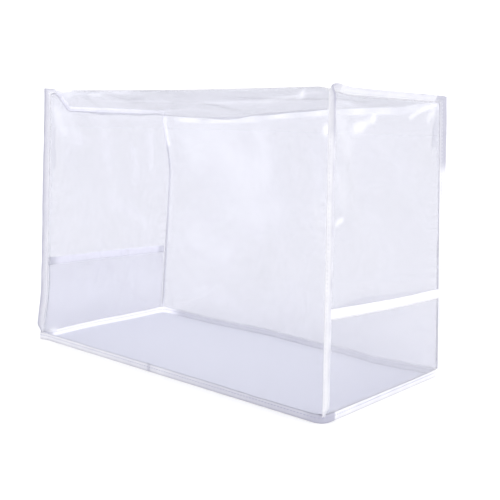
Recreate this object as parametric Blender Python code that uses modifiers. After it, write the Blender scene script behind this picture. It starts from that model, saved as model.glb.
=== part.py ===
"""A box cover of clear soft film for a sewing machine, open at its hem.

One long strip of film makes the front, the top and the back. An end panel closes each end, and a patch
pocket is sewn to the outside of each end. Where a panel meets the strip, both turn outwards into a seam
allowance that stands up as a narrow fin, and folded tape binds the fin, the hem and the pockets' mouths.
The cover stands empty, so its back left corner slumps and its top hangs in.

Metres, +Z up. The front looks towards -Y and the ends towards -X and +X. The origin lies on the surface
that the hem stands on, under the middle of the cover.
"""
import math
from collections import namedtuple

import bmesh
import bpy
from mathutils import Vector

# Sheets
FILM = 0.0010            # thickness of the film
TAPE = 0.0010            # thickness of one wall of the folded tape
GAP = 0.0003             # clearance between two faces that touch on the real cover

# Cover
HEIGHT = 0.310           # the front fold over the surface
FOLD_RADIUS = 0.008      # roundness of the front and back folds
FIN = 0.0067             # film in a seam's fin, from the corner to its raw edge
FIN_TRIM = 0.012         # height over which a fin grows to its full width from the hem up
FIN_FOOT = 0.50          # its width where it meets the hem, as a share of the full one
HEM_TAPE = 0.008         # height of the tape round the hem
HEM_BAY = 0.0125         # the hem's corner is round from here on, and holds no film
CORNER_RISE = 0.0086     # where the film starts beside a corner, just over the hem's tape
CORNER_DIP = 0.0045      # how far each end of the front fold is drawn down by its seam
DIP_SPREAD = 0.035       # share of the width over which that dip dies out
FOLD_SAG = 0.0015        # how far the middle of the front fold hangs
SAG = 0.004              # extra hang in the middle of the top
SEAM_LIP = 0.0010        # from the corner to the lips of the tape on a seam's fin
END_INSET = 0.0020       # from the corner to an end panel's first row

# Slumped back left corner
SLUMP_FROM = 0.200       # height at which the back wall starts to lean in
SLUMP_TO = 0.290         # height at which the lean is whole
SLUMP_REACH = 0.0185     # how far its top leans in at the left end
SLUMP_SPREAD = 0.45      # share of the width over which the lean dies out

# Pockets
POCKET_TAPE = 0.010      # height of the tape on a pocket's mouth
POCKET_INSET = 0.003     # from the corner to the pocket's side edge
POCKET_BOW = 0.003       # how far the mouth bows outwards
POCKET_STEP = 2.5        # the pocket is clear of the end this many tape heights under its mouth
END_BOW = 0.0070         # how far an end panel hangs in behind its pocket
END_BOW_FROM = 0.080     # height at which that hang is whole
END_TOP = 0.290          # height of an end panel's upper edge, where it is flat again
END_BOW_FADE = 0.120     # height over which the hang dies out under the upper edge
END_CREASES_FROM = 0.120 # an end's creases lie over its pocket

# Numbers of faces
WALL_ROWS = 13
WALL_CROWDING = 1.25     # over 1, a wall's rows lie closer together over the hem
TOP_ROWS = 12
TOP_CROWDING = 1.3       # over 1, the top's rows lie closer together behind the front fold
ARC_ROWS = 4
STRIP_SPACES = 16
POCKET_COLUMNS = 14
POCKET_ROWS = 10
CORNER_STEPS = 4
FIRST_ROW = 0.0095       # height of the first row over the hem
CLOSE_COLUMNS = (0.002, 0.007, HEM_BAY)    # the columns beside a seam, measured from it
SAME_PLACE = 0.0001      # two places nearer than this count as one
MERGE = 0.00002          # points nearer than this are welded

# The cover's four corners at the hem and at the full height. Flare is how far a corner's foot steps out
# along X at its hem, and pull is how square the hem's corner is
Corner = namedtuple("Corner", "x_hem y_hem x_top y_top flare pull")
CORNERS = {
    ("left", "front"): Corner(-0.2145, -0.1050, -0.2035, -0.1025, -0.0060, 2.4),
    ("right", "front"): Corner(0.2145, -0.1085, 0.2035, -0.1025, 0.0, 1.0),
    ("right", "back"): Corner(0.2160, 0.1095, 0.2030, 0.1025, 0.0, 2.4),
    ("left", "back"): Corner(-0.2280, 0.1090, -0.2035, 0.1025, 0.0, 1.6),
}
FLARE_FADE = 0.070       # height over which a flare dies out
MIDDLE = Vector((-0.0058, 0.0025, 0.0))    # middle of the whole cover in the coordinates of the tables
WIDTH = CORNERS["right", "front"].x_hem - CORNERS["left", "front"].x_hem
DEPTH = CORNERS["right", "back"].y_hem - CORNERS["right", "front"].y_hem

# Height of the back fold along the width, from the left seam at 0 to the right seam at 1
FoldPoint = namedtuple("FoldPoint", "share height")
BACK_FOLD = (
    FoldPoint(0.00, 0.2850),
    FoldPoint(0.17, 0.2830),
    FoldPoint(0.33, 0.2850),
    FoldPoint(0.47, 0.2910),
    FoldPoint(0.65, 0.2955),
    FoldPoint(0.85, 0.2975),
    FoldPoint(1.00, 0.3030),
)

# Where the top has come down from the front fold to the back fold, as a share of its depth
DropPoint = namedtuple("DropPoint", "share reach")
TOP_DROP = (
    DropPoint(0.00, 0.14),
    DropPoint(0.06, 0.45),
    DropPoint(0.20, 0.80),
    DropPoint(0.85, 0.85),
    DropPoint(0.96, 0.45),
    DropPoint(1.00, 0.16),
)

# How far each fin turns from the end panel's own plane, in degrees: 90 is the strip's plane
Lean = namedtuple("Lean", "front top back back_foot")
FIN_LEAN = {
    "left": Lean(45, 45, 45, 45),
    "right": Lean(78, 26, 45, 8),
}

# Height of each pocket's mouth at its front and back edges
Mouth = namedtuple("Mouth", "front back")
POCKET_MOUTH = {
    "left": Mouth(0.1035, 0.0985),
    "right": Mouth(0.1070, 0.0985),
}

# Soft ridges and troughs: a line on a panel, its height over the film (a trough is below 0) and half width.
# The places are x and z on the front and back, x and y on the top, and y and z on the ends.
Crease = namedtuple("Crease", "panel start end height half_width")
CREASES = (
    Crease("front", (-0.190, 0.250), (-0.120, 0.120), 0.0030, 0.022),
    Crease("front", (-0.060, 0.220), (0.060, 0.060), -0.0025, 0.030),
    Crease("front", (0.150, 0.270), (0.185, 0.190), -0.0035, 0.020),
    Crease("front", (0.090, 0.120), (0.170, 0.050), 0.0025, 0.026),
    Crease("back", (-0.170, 0.230), (-0.060, 0.150), 0.0050, 0.026),
    Crease("back", (-0.130, 0.110), (-0.030, 0.210), -0.0045, 0.024),
    Crease("back", (0.000, 0.255), (0.060, 0.150), 0.0040, 0.026),
    Crease("back", (0.100, 0.200), (0.150, 0.080), -0.0040, 0.026),
    Crease("back", (-0.150, 0.060), (0.020, 0.080), -0.0035, 0.026),
    Crease("top", (-0.180, -0.040), (-0.090, -0.075), -0.0035, 0.016),
    Crease("top", (-0.160, 0.030), (-0.040, 0.000), 0.0035, 0.018),
    Crease("top", (-0.070, 0.060), (0.060, 0.045), -0.0030, 0.018),
    Crease("top", (0.020, -0.020), (0.150, 0.010), 0.0025, 0.020),
    Crease("left", (-0.060, 0.250), (0.050, 0.235), -0.0050, 0.022),
    Crease("left", (0.060, 0.180), (0.020, 0.130), 0.0030, 0.020),
    Crease("right", (0.080, 0.285), (0.040, 0.240), 0.0035, 0.020),
    Crease("right", (-0.070, 0.285), (-0.045, 0.225), -0.0030, 0.020),
)

# A hem that isn't quite straight: the middle of a bulge as a share of its wall, its half width, its reach
Bulge = namedtuple("Bulge", "wall share half_width outward")
HEM_BULGES = (
    Bulge("back", 0.44, 0.20, 0.0050),
    Bulge("back", 0.84, 0.14, -0.0060),
    Bulge("left", 0.36, 0.36, 0.0040),
)
BULGE_FADE = 0.110       # height over which a bulge of the hem dies out

EDGE_FADE = 0.022        # a ridge or trough dies out over this distance from a seam or the hem
COLLECTION = "Sewing machine cover"


def smooth(t):
    """Eases from 0 to 1 while t goes from 0 to 1."""
    t = min(max(t, 0.0), 1.0)
    return t * t * (3.0 - 2.0 * t)


def mix(a, b, t):
    return a + (b - a) * t


def eased(points, share):
    """Reads a table of (share, value) rows with a soft curve from each row to the next."""
    for low, high in zip(points, points[1:]):
        if share <= high[0]:
            return mix(low[1], high[1], smooth((share - low[0]) / (high[0] - low[0])))
    return points[-1][1]


def hill(offset, half_width):
    """1 in the middle of a bump, and 0 from twice its half width outwards."""
    return smooth(1.0 - abs(offset) / (2.0 * half_width))


def hem_bulge(wall, share, z):
    """How far the hem of a wall stands outwards, dying out upwards."""
    reach = sum(b.outward * hill(share - b.share, b.half_width / 2) for b in HEM_BULGES if b.wall == wall)
    return reach * smooth(1.0 - z / BULGE_FADE)


def corner_at(end, wall, z):
    """The seam's own x and y at a height, before anything slumps."""
    corner = CORNERS[end, wall]
    t = z / HEIGHT
    x = mix(corner.x_hem, corner.x_top, t) + corner.flare * smooth(1.0 - z / FLARE_FADE)
    return x, mix(corner.y_hem, corner.y_top, t)


def wall_point(wall, u, z):
    """A point of the front or the back wall at the share u of the width."""
    x_left, y_left = corner_at("left", wall, z)
    x_right, y_right = corner_at("right", wall, z)
    outwards = 1.0 if wall == "back" else -1.0
    y = mix(y_left, y_right, u) + outwards * hem_bulge(wall, u, z)
    if wall == "back":
        climb = (z - SLUMP_FROM) / (SLUMP_TO - SLUMP_FROM)
        y -= SLUMP_REACH * smooth(1.0 - u / SLUMP_SPREAD) * smooth(climb)
    return Vector((mix(x_left, x_right, u), y, z))


def front_fold(u):
    """Height of the front fold: it dips a little in the middle and is drawn down at both seams."""
    near_seam = min(u, 1.0 - u)
    return HEIGHT - FOLD_SAG * math.sin(math.pi * u) - CORNER_DIP * smooth(1.0 - near_seam / DIP_SPREAD)


def crease_height(panel, a, b):
    """Sum of the ridges and troughs at one place of a panel."""
    height = 0.0
    place = Vector((a, b))
    for crease in CREASES:
        if crease.panel != panel:
            continue
        start, end = Vector(crease.start), Vector(crease.end)
        run = end - start
        t = min(max((place - start).dot(run) / run.length_squared, 0.0), 1.0)
        distance = (place - start - run * t).length
        height += crease.height * hill(distance, crease.half_width)
    return height


def wall_heights(top, foot):
    """Heights of a wall's rows: close together over the hem, then even."""
    heights = [foot, FIRST_ROW]
    for k in range(1, WALL_ROWS):
        heights.append(mix(FIRST_ROW, top, (k / (WALL_ROWS - 1)) ** WALL_CROWDING))
    return heights


def arc(centre_y, centre_z, start, stop):
    """Points of a fold from one angle to another, both ends left out."""
    angles = [mix(start, stop, k / ARC_ROWS) for k in range(1, ARC_ROWS)]
    return [(centre_y + FOLD_RADIUS * math.cos(a), centre_z + FOLD_RADIUS * math.sin(a)) for a in angles]


def section(u, foot=CORNER_RISE):
    """The strip's path at the share u of the width: up the front, over the top, down the back."""
    front_top = front_fold(u) - FOLD_RADIUS
    back_top = eased(BACK_FOLD, u) - FOLD_RADIUS
    path = [wall_point("front", u, z) for z in wall_heights(front_top, foot)]
    down = [wall_point("back", u, z) for z in wall_heights(back_top, foot)]
    down.reverse()
    y_front = path[-1].y + FOLD_RADIUS
    y_back = down[0].y - FOLD_RADIUS
    reach = eased(TOP_DROP, u)
    over = arc(y_front, front_top, math.pi, math.pi / 2)
    for k in range(TOP_ROWS + 1):
        t = (k / TOP_ROWS) ** TOP_CROWDING
        z = mix(front_top, back_top, smooth(t / reach)) + FOLD_RADIUS
        z -= SAG * math.sin(math.pi * t) * math.sin(math.pi * u)
        over.append((mix(y_front, y_back, t), z))
    over += arc(y_back, back_top, math.pi / 2, 0.0)
    for y, z in over:
        share = (y - y_front) / (y_back - y_front)
        share = min(max(share, 0.0), 1.0)
        x_front = mix(corner_at("left", "front", z)[0], corner_at("right", "front", z)[0], u)
        x_back = mix(corner_at("left", "back", z)[0], corner_at("right", "back", z)[0], u)
        path.append(Vector((mix(x_front, x_back, share), y, z)))
    return path + down


WALL_STEPS = WALL_ROWS                      # rows from a wall's foot to its fold
PATH_STEPS = 2 * (WALL_STEPS + ARC_ROWS) + TOP_ROWS
COONS_ROWS = WALL_STEPS + ARC_ROWS // 2     # from the foot to the middle of a fold
COONS_COLUMNS = TOP_ROWS + ARC_ROWS         # from the middle of one fold to the middle of the other
END_SPACES = COONS_COLUMNS - 2 * (len(CLOSE_COLUMNS) - 1)


def outward_normals(path):
    """Unit normals of a path in the end panel's plane, pointing out of the cover."""
    normals = []
    for i in range(len(path)):
        run = path[min(i + 1, len(path) - 1)] - path[max(i - 1, 0)]
        normals.append(Vector((0.0, -run.z, run.y)).normalized())
    return normals


def panel_of_row(i):
    """Which panel of the strip a row belongs to."""
    if i <= WALL_STEPS:
        return "front"
    return "back" if i >= PATH_STEPS - WALL_STEPS else "top"


def fin_share(point):
    """Width of a fin at a point, as a share of its full width: it is trimmed where it meets the hem."""
    return mix(FIN_FOOT, 1.0, smooth((point.z - CORNER_RISE) / FIN_TRIM))


def fin_frames(end):
    """For each point of an end's seam: the point, the fin's direction and the side that the end is on."""
    out = Vector((1.0 if end == "right" else -1.0, 0.0, 0.0))
    path = section(1.0 if end == "right" else 0.0)
    lean = FIN_LEAN[end]
    turn = ARC_ROWS + 2
    frames = []
    for i, (point, normal) in enumerate(zip(path, outward_normals(path))):
        angle = mix(lean.front, lean.top, smooth((i - WALL_STEPS + 1) / turn))
        back = mix(lean.back_foot, lean.back, smooth(point.z / HEIGHT))
        angle = mix(angle, back, smooth((i - (PATH_STEPS - WALL_STEPS - turn) - 1) / turn))
        angle = math.radians(angle)
        fin = normal * math.cos(angle) + out * math.sin(angle)
        side = out * math.cos(angle) - normal * math.sin(angle)
        frames.append((point, fin, side))
    return frames


def material(name, colour, roughness):
    """A Principled material with one colour."""
    made = bpy.data.materials.new(name)
    made.use_nodes = True
    shader = made.node_tree.nodes["Principled BSDF"]
    shader.inputs["Base Color"].default_value = colour
    shader.inputs["Roughness"].default_value = roughness
    shader.inputs["Metallic"].default_value = 0.0
    made.diffuse_color = colour
    return made


def skin(name, rows, finish):
    """A surface over rows of points; rows that close on themselves are welded."""
    across = len(rows[0]) - 1
    along = len(rows) - 1
    mesh = bpy.data.meshes.new(name)
    work = bmesh.new()
    bmesh.ops.create_grid(work, x_segments=across, y_segments=along, size=0.5)
    for vertex in work.verts:
        i = round((vertex.co.x + 0.5) * across)
        j = round((vertex.co.y + 0.5) * along)
        vertex.co = rows[j][i] - MIDDLE
    bmesh.ops.remove_doubles(work, verts=work.verts, dist=MERGE)
    bmesh.ops.recalc_face_normals(work, faces=work.faces)
    work.to_mesh(mesh)
    work.free()
    mesh.shade_smooth()
    mesh.set_sharp_from_angle(angle=math.radians(40))
    made = bpy.data.objects.new(name, mesh)
    made.data.materials.append(finish)
    bpy.data.collections[COLLECTION].objects.link(made)
    return made


def sheet(name, rows, thickness, finish):
    """A solid sheet whose middle lies on rows of points."""
    made = skin(name, rows, finish)
    wall = made.modifiers.new("Thickness", "SOLIDIFY")
    wall.thickness = thickness
    wall.offset = 0.0
    wall.use_even_offset = True
    return made


def shares(length, count):
    """Shares of a panel's width at its columns: close together beside the seams, then even."""
    close = [distance / length for distance in CLOSE_COLUMNS]
    even = [mix(close[-1], 1.0 - close[-1], k / count) for k in range(1, count)]
    return close + even + [1.0 - share for share in reversed(close)]


def film_foot(distance):
    """The film's lower edge: inside the hem's tape, but over it beside a corner."""
    return CORNER_RISE if distance < HEM_BAY + SAME_PLACE else TAPE + GAP


def body_column(u):
    """One column of the strip, with its ridges and troughs."""
    from_seam = min(u, 1.0 - u) * WIDTH
    column = section(u, film_foot(from_seam))
    for i, (point, normal) in enumerate(zip(list(column), outward_normals(column))):
        panel = panel_of_row(i)
        upright = point.y if panel == "top" else point.z
        fade = smooth(from_seam / EDGE_FADE)
        if panel != "top":
            fade *= smooth((point.z - CORNER_RISE) / EDGE_FADE)
        column[i] = point + normal * crease_height(panel, point.x, upright) * fade
    return column


def make_body_strip(film):
    """Front, top and back in one piece, with its seam allowances turned out at both ends."""
    half_seam = (FILM + GAP) / 2
    columns = []
    for end in ("left", "right"):
        frames = fin_frames(end)
        corner = [point - side * half_seam for point, fin, side in frames]
        edge = [point - side * half_seam + fin * FIN * fin_share(point) for point, fin, side in frames]
        columns += [edge, corner] if end == "left" else [corner, edge]
    columns = columns[:2] + [body_column(u) for u in shares(WIDTH, STRIP_SPACES)] + columns[2:]
    rows = [list(row) for row in zip(*columns)]
    return sheet("body_strip", rows, FILM, film)


def end_chord(end, share, z):
    """A point on the straight line from an end's front seam to its back seam."""
    x_front, y_front = corner_at(end, "front", z)
    x_back, y_back = corner_at(end, "back", z)
    return Vector((mix(x_front, x_back, share), mix(y_front, y_back, share), z))


def end_point(end, share, z):
    """A point of an end panel near its hem."""
    point = end_chord(end, share, z)
    point.x += hem_bulge(end, share, z) * (1.0 if end == "right" else -1.0)
    return point


def end_relief(end, point, share):
    """How far along X an end panel leaves its flat surface: it bulges at its hem and hangs in over it."""
    y_front, y_back = corner_at(end, "front", point.z)[1], corner_at(end, "back", point.z)[1]
    bulge = hem_bulge(end, (point.y - y_front) / (y_back - y_front), point.z)
    out = 1.0 if end == "right" else -1.0
    bow = END_BOW * math.sin(math.pi * share) ** 2 * smooth(point.z / END_BOW_FROM)
    bow *= smooth((END_TOP - point.z) / END_BOW_FADE)
    fade = smooth(min(share, 1.0 - share) * DEPTH / EDGE_FADE) * smooth((END_TOP - point.z) / EDGE_FADE)
    fade *= smooth((point.z - END_CREASES_FROM) / EDGE_FADE)
    return out * (bulge + crease_height(end, point.y, point.z) * fade - bow)


def coons(left, right, bottom, top):
    """Fills the patch between four edges; left and right run upwards, bottom and top to the back."""
    columns, rows = len(bottom) - 1, len(left) - 1
    grid = []
    for j in range(rows + 1):
        w = j / rows
        line = []
        for i in range(columns + 1):
            v = i / columns
            ruled = mix(left[j], right[j], v) + mix(bottom[i], top[i], w)
            corners = mix(mix(bottom[0], bottom[-1], v), mix(top[0], top[-1], v), w)
            line.append(ruled - corners)
        grid.append(line)
    return grid


def end_grid(end):
    """The end panel inside its seams."""
    frames = fin_frames(end)
    path = [point for point, fin, side in frames]
    inner = [point - normal * END_INSET for point, normal in zip(path, outward_normals(path))]
    left = inner[:COONS_ROWS + 1]
    top = inner[COONS_ROWS:COONS_ROWS + COONS_COLUMNS + 1]
    right = inner[COONS_ROWS + COONS_COLUMNS:]
    right.reverse()
    across = shares(DEPTH, END_SPACES)
    bottom = [end_chord(end, share, CORNER_RISE) for share in across]
    bottom[0], bottom[-1] = left[0], right[0]
    grid = coons(left, right, bottom, top)
    for i in range(1, len(across) - 1):
        grid[0][i] = end_chord(end, across[i], film_foot(min(across[i], 1.0 - across[i]) * DEPTH))
    for line in grid[:-1]:
        for i in range(1, len(line) - 1):
            share = (line[i].y - line[0].y) / (line[-1].y - line[0].y)
            line[i].x += end_relief(end, line[i], share)
    return grid


def make_end_panel(end, film):
    """An end panel, with its seam allowance turned out along three sides."""
    half_seam = (FILM + GAP) / 2
    frames = fin_frames(end)
    corner = [point + side * half_seam for point, fin, side in frames]
    edge = [point + side * half_seam + fin * FIN * fin_share(point) for point, fin, side in frames]
    rows = []
    for j, line in enumerate(end_grid(end)):
        k = len(frames) - 1 - j
        rows.append([edge[j], corner[j]] + line + [corner[k], edge[k]])
    over = slice(COONS_ROWS, COONS_ROWS + COONS_COLUMNS + 1)
    first, last = edge[over][0], edge[over][-1]
    rows.append([first, corner[over][0]] + corner[over] + [corner[over][-1], last])
    rows.append([first, first] + edge[over] + [last, last])
    return sheet("end_panel_" + end, rows, FILM, film)


def make_seam_binding(end, tape):
    """Folded tape over the fin of one end: up the front, over the top and down the back."""
    wall = FILM + GAP * 1.5 + TAPE / 2
    rows = []
    for point, fin, side in fin_frames(end):
        crown = FIN * fin_share(point) + GAP + TAPE / 2
        rows.append([
            point - side * wall + fin * SEAM_LIP,
            point - side * wall + fin * crown,
            point + side * wall + fin * crown,
            point + side * wall + fin * SEAM_LIP,
        ])
    return sheet("seam_binding_" + end, rows, TAPE, tape)


def hem_line(z):
    """The film's line round the hem at a height, closed, with rounded corners."""
    across = shares(WIDTH, STRIP_SPACES)[2:-2]
    along = shares(DEPTH, END_SPACES)[2:-2]
    front = [wall_point("front", u, z) for u in across]
    back = [wall_point("back", u, z) for u in reversed(across)]
    right = [end_point("right", share, z) for share in along]
    left = [end_point("left", share, z) for share in reversed(along)]
    line = front + rounded(front, right, CORNERS["right", "front"].pull)
    line += right + rounded(right, back, CORNERS["right", "back"].pull)
    line += back + rounded(back, left, CORNERS["left", "back"].pull)
    line += left + rounded(left, front, CORNERS["left", "front"].pull)
    return line


def rounded(wall, follower, pull):
    """Points of a soft corner from one wall's line to the next one's, both ends left out."""
    before, start = wall[-2:]
    stop, after = follower[:2]
    along, beyond = (start - before).normalized(), (after - stop).normalized()
    step = stop - start
    across = along.x * beyond.y - along.y * beyond.x
    tip = start + along * ((step.x * beyond.y - step.y * beyond.x) / across)
    points = []
    for k in range(1, CORNER_STEPS):
        t = k / CORNER_STEPS
        to_start, to_tip, to_stop = (1 - t) ** 2, 2 * pull * t * (1 - t), t ** 2
        points.append((start * to_start + tip * to_tip + stop * to_stop) / (to_start + to_tip + to_stop))
    return points


def make_hem_binding(tape):
    """Folded tape round the whole hem: a channel for the film, standing on its flat fold."""
    inner = FILM / 2 + GAP
    outer = inner + TAPE
    profile = [(-outer, HEM_TAPE), (-outer, 0.0), (outer, 0.0), (outer, HEM_TAPE)]
    profile += [(inner, HEM_TAPE), (inner, TAPE), (-inner, TAPE), (-inner, HEM_TAPE)]
    rows = []
    for offset, z in profile + profile[:1]:
        line = hem_line(z)
        ring = []
        for i, point in enumerate(line):
            before, after = line[i - 1], line[(i + 1) % len(line)]
            first = (point - before).normalized()
            second = (after - point).normalized()
            out = Vector((first.y + second.y, -first.x - second.x, 0.0)).normalized()
            stretch = 1.0 / max(out.dot(Vector((first.y, -first.x, 0.0))), 0.5)
            ring.append(point + out * offset * stretch)
        ring.append(ring[0].copy())
        rows.append(ring)
    return skin("hem_binding", rows, tape)


def pocket_point(end, share, climb):
    """A point of a pocket: share runs from its front edge to its back edge, climb from foot to mouth."""
    out = 1.0 if end == "right" else -1.0
    mouth = mix(POCKET_MOUTH[end].front, POCKET_MOUTH[end].back, share)
    z = mix(CORNER_RISE, mouth, climb)
    y_front = corner_at(end, "front", z)[1] + POCKET_INSET
    y_back = corner_at(end, "back", z)[1] - POCKET_INSET
    y = mix(y_front, y_back, share)
    x_front, x_back = corner_at(end, "front", z)[0], corner_at(end, "back", z)[0]
    across = (y - y_front + POCKET_INSET) / (y_back - y_front + 2 * POCKET_INSET)
    x = mix(x_front, x_back, across)
    under_tape = (mouth - z) / POCKET_TAPE
    clear = FILM + GAP * 1.5 + (TAPE + GAP) * smooth(POCKET_STEP - under_tape)
    bow = POCKET_BOW * math.sin(math.pi * share) * smooth(climb)
    return Vector((x + out * (clear + bow + hem_bulge(end, across, z)), y, z))


def make_pocket(end, film):
    """A patch pocket on the outside of an end panel."""
    rows = []
    for j in range(POCKET_ROWS + 1):
        climb = j / POCKET_ROWS
        rows.append([pocket_point(end, i / POCKET_COLUMNS, climb) for i in range(POCKET_COLUMNS + 1)])
    return sheet("pocket_" + end, rows, FILM, film)


def make_pocket_binding(end, tape):
    """Folded tape over a pocket's mouth."""
    out = Vector((1.0 if end == "right" else -1.0, 0.0, 0.0))
    wall = FILM / 2 + GAP + TAPE / 2
    rows = []
    for i in range(POCKET_COLUMNS + 1):
        share = i / POCKET_COLUMNS
        mouth = pocket_point(end, share, 1.0)
        below = pocket_point(end, share, 1.0 - POCKET_TAPE / mouth.z)
        lip = mouth + (below - mouth) * ((POCKET_TAPE - GAP - TAPE) / (mouth - below).length)
        crown = mouth + Vector((0.0, 0.0, GAP + TAPE / 2))
        rows.append([lip - out * wall, crown - out * wall, crown + out * wall, lip + out * wall])
    return sheet("pocket_binding_" + end, rows, TAPE, tape)


def build():
    """Makes the whole cover."""
    for item in list(bpy.data.objects):
        bpy.data.objects.remove(item, do_unlink=True)
    group = bpy.data.collections.new(COLLECTION)
    bpy.context.scene.collection.children.link(group)
    film = material("Clear film", (0.86, 0.86, 0.92, 1.0), 0.12)
    pocket_film = material("Pocket film", (0.82, 0.82, 0.90, 1.0), 0.14)
    tape = material("White tape", (0.95, 0.95, 0.97, 1.0), 0.45)
    make_body_strip(film)
    make_hem_binding(tape)
    for end in ("left", "right"):
        make_end_panel(end, film)
        make_seam_binding(end, tape)
        make_pocket(end, pocket_film)
        make_pocket_binding(end, tape)


if __name__ == "__main__":
    build()
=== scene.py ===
"""A box cover of clear soft film for a sewing machine, dressed for its picture.

The film panels, the pockets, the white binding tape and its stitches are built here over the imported
solids: thin soft sheets with their wrinkles, on the same folds, fins and hem as the part's own solids.
"""

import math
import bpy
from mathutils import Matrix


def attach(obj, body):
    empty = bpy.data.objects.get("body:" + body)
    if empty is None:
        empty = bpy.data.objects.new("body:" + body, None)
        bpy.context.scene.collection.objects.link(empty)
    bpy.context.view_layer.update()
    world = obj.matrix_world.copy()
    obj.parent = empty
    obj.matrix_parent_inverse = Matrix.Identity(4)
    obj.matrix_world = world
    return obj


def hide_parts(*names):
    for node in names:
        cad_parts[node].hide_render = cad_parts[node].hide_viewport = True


bl_info = {
    "name": "Clear film machine cover",
    "version": (1, 0, 0),
    "blender": (4, 5, 0),
    "location": "3D View > Sidebar > Cover",
    "description": "Builds a clear film cover with taped seams, its pockets, stitches and studio",
    "category": "Add Mesh",
}

from collections import namedtuple

import bpy
from mathutils import Matrix, Vector, noise

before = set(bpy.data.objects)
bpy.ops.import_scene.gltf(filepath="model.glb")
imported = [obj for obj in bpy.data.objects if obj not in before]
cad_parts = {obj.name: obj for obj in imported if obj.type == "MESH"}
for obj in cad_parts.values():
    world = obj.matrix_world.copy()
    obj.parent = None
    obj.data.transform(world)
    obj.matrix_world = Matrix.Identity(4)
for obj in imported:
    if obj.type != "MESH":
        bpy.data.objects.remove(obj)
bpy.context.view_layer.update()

# The cover's shape, in metres, with the front looking to -Y
HEIGHT = 0.310
FOLD_RADIUS = 0.0035
FIN = 0.0067
FIN_TRIM = 0.012
SEAM_GAP = 0.75
FIN_FOOT = 0.20
HEM_TAPE = 0.008
HEM_BAY = 0.0125
FILM_FOOT = 0.0013
CORNER_RISE = 0.0086
CORNER_DIP = 0.0045
DIP_SPREAD = 0.035
FOLD_SAG = 0.0015
SAG = 0.004
END_INSET = 0.0020
SLUMP_FROM = 0.200
SLUMP_TO = 0.290
SLUMP_REACH = 0.0185
SLUMP_SPREAD = 0.45
POCKET_TAPE = 0.010
POCKET_INSET = 0.003
POCKET_BOW = 0.003
POCKET_OFF = 0.0014
POCKET_STEP = 2.5
END_BOW = 0.0070
END_BOW_FROM = 0.080
END_TOP = 0.290
END_BOW_FADE = 0.120
END_CREASES_FROM = 0.120
TOP_CROWDING = 1.3
EDGE_FADE = 0.022
BULGE_FADE = 0.110
FLARE_FADE = 0.070
MIDDLE = Vector((-0.0058, 0.0025, 0.0))

# Numbers of faces
ARC_ROWS = 6
COLUMNS = 160
POCKET_COLUMNS = 70
POCKET_ROWS = 34
CORNER_STEPS = 10
HEM_SPACES = 180
FOLD_FADE_ROWS = 8

# Painted highlight on the film along the back fold, in clouds so many a width, and how white the film is at a
# seam and inside its tape
BACK_FOLD_HIGHLIGHT = 0.75
FOLD_CLOUDS = 14.0
SEAM_MILK = 0.16
FIN_MILK = 0.40

# The white layer, haze with painted highlights, hides at most so much of what is behind it, and adds so much
# painted glow, which stands for highlights
MILK_COVER = 0.20
MILK_GLOW = 0.17
MILK_COLOUR = (0.97, 0.97, 1.0, 1.0)
MOST_MILK = 0.9

# How the film's shine grows from faces seen straight on to those seen at a slant
FACING_SHINE = 0.08
SLANT_SHINE = 0.8
SLANT_POWER = 4.0

# The tape has a little painted glow, it is greyer where painted shade is laid on it and at its joint, and the
# left end's has more painted glow, standing for light through it from behind
TAPE_GLOW = 0.10
PAINTED_SHADE_AND_JOINT_COLOUR = (0.36, 0.36, 0.46, 1.0)
GLOW = 0.60
GLOW_TOP = 0.75
GLOW_BACK_FROM = 0.090
GLOW_BACK_LOSS = 0.55

Fade = namedtuple("Fade", "start reach")
# Where the tape's painted glow grows and fades
LIT_TOP = Fade(0.262, 0.012)
LIT_LEFT = Fade(-0.18, -0.03)
LIT_BEHIND_FRONT = Fade(-0.100, 0.012)
DIM_BACK_FOOT = Fade(0.010, 0.010)
DIM_BACK_TOP = Fade(0.255, -0.020)

# Rows up each wall and over the top: the strip's own, and the finer ones of the ends and their tapes
Rows = namedtuple("Rows", "wall top")
STRIP_ROWS = Rows(96, 66)
END_ROWS = Rows(150, 120)

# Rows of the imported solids' strip, by which the fins turn: foot, folds and foot again
COARSE = (0, 13, 17, 29, 33, 46)
COARSE_TURN = 6

Corner = namedtuple("Corner", "x_hem y_hem x_top y_top flare pull")
CORNERS = {
    ("left", "front"): Corner(-0.2145, -0.1050, -0.2035, -0.1025, -0.0080, 6.0),
    ("right", "front"): Corner(0.2145, -0.1085, 0.2035, -0.1025, 0.0, 1.0),
    ("right", "back"): Corner(0.2160, 0.1095, 0.2030, 0.1025, 0.0, 2.4),
    ("left", "back"): Corner(-0.2280, 0.1090, -0.2035, 0.1025, 0.0, 1.6),
}
WIDTH = CORNERS["right", "front"].x_hem - CORNERS["left", "front"].x_hem
DEPTH = CORNERS["right", "back"].y_hem - CORNERS["right", "front"].y_hem

FoldPoint = namedtuple("FoldPoint", "share height")
BACK_FOLD = (
    FoldPoint(0.00, 0.2850),
    FoldPoint(0.17, 0.2830),
    FoldPoint(0.33, 0.2850),
    FoldPoint(0.47, 0.2910),
    FoldPoint(0.65, 0.2955),
    FoldPoint(0.85, 0.2975),
    FoldPoint(1.00, 0.3030),
)

DropPoint = namedtuple("DropPoint", "share reach")
TOP_DROP = (
    DropPoint(0.00, 0.14),
    DropPoint(0.06, 0.45),
    DropPoint(0.20, 0.80),
    DropPoint(0.85, 0.85),
    DropPoint(0.96, 0.45),
    DropPoint(1.00, 0.16),
)

Lean = namedtuple("Lean", "front top back back_foot")
FIN_LEAN = {
    "left": Lean(45, 45, 45, 45),
    "right": Lean(78, 26, 45, 8),
}

Mouth = namedtuple("Mouth", "front back")
POCKET_MOUTH = {
    "left": Mouth(0.1035, 0.0985),
    "right": Mouth(0.1070, 0.0985),
}

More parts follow.
